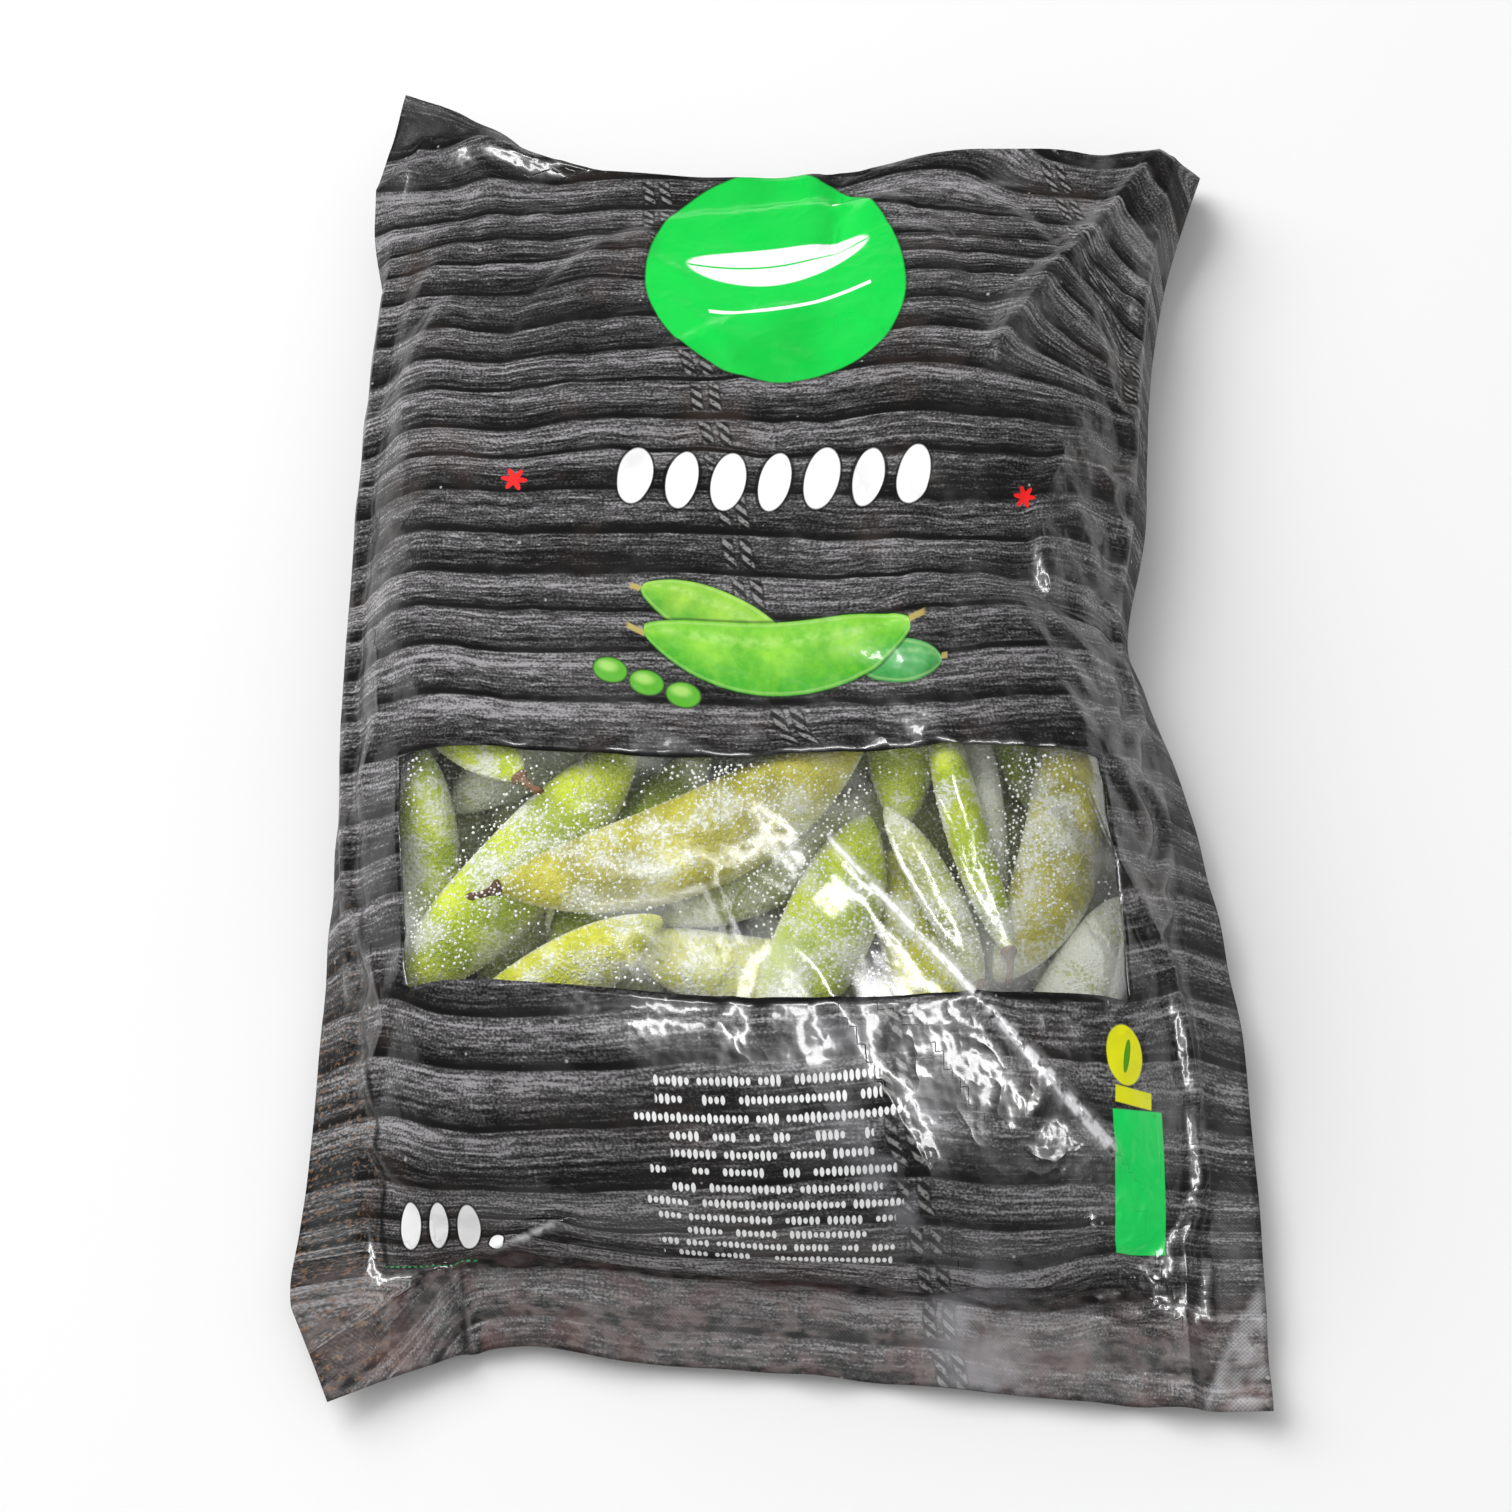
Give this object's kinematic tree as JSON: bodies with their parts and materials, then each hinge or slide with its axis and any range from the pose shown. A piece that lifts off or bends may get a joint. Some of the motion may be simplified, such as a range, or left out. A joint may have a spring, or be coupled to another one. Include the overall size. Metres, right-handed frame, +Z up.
{
  "type": "bag of frozen edamame pods",
  "caption": "Filled, heat-sealed film bag of frozen edamame pods lying on its back, with a clear window across the front that shows the frosted pods inside.",
  "frame": {"origin": "middle of the bag's box, on the surface the bag lies on", "axes": "+Y from the bottom seal to the top seal, +X from the left side seal to the right one, +Z up out of the printed front"},
  "size_m": [0.181, 0.2748, 0.0492],
  "materials": {
    "printed_film": "semi-gloss laminate printed with dark wooden slats",
    "clear_film": "clear, glossy, slightly frosted from inside",
    "pod_shell": "fuzzy green pod with frost on it"
  },
  "bodies": {
    "root": {"front_web": "printed_film", "back_web": "printed_film", "window_film": "clear_film", "loose_pod_01": "pod_shell", "loose_pod_02": "pod_shell", "loose_pod_03": "pod_shell", "loose_pod_04": "pod_shell", "loose_pod_05": "pod_shell", "loose_pod_06": "pod_shell", "loose_pod_07": "pod_shell", "loose_pod_08": "pod_shell", "loose_pod_09": "pod_shell", "loose_pod_10": "pod_shell", "loose_pod_11": "pod_shell", "loose_pod_12": "pod_shell", "loose_pod_13": "pod_shell", "loose_pod_14": "pod_shell", "loose_pod_15": "pod_shell", "loose_pod_16": "pod_shell", "pod_clump_01": "pod_shell", "pod_clump_02": "pod_shell", "pod_clump_03": "pod_shell", "pod_clump_04": "pod_shell", "pod_clump_05": "pod_shell", "pod_clump_06": "pod_shell", "pod_clump_07": "pod_shell", "pod_clump_08": "pod_shell", "pod_clump_09": "pod_shell", "shown_pod_01": "pod_shell", "shown_pod_02": "pod_shell", "shown_pod_03": "pod_shell", "shown_pod_04": "pod_shell", "shown_pod_05": "pod_shell", "shown_pod_06": "pod_shell", "shown_pod_07": "pod_shell", "shown_pod_08": "pod_shell", "shown_pod_09": "pod_shell", "shown_pod_10": "pod_shell", "shown_pod_11": "pod_shell", "shown_pod_12": "pod_shell", "shown_pod_13": "pod_shell", "shown_pod_14": "pod_shell", "shown_pod_15": "pod_shell", "shown_pod_16": "pod_shell", "shown_pod_17": "pod_shell", "shown_pod_18": "pod_shell", "shown_pod_19": "pod_shell"}
  },
  "joints": []
}
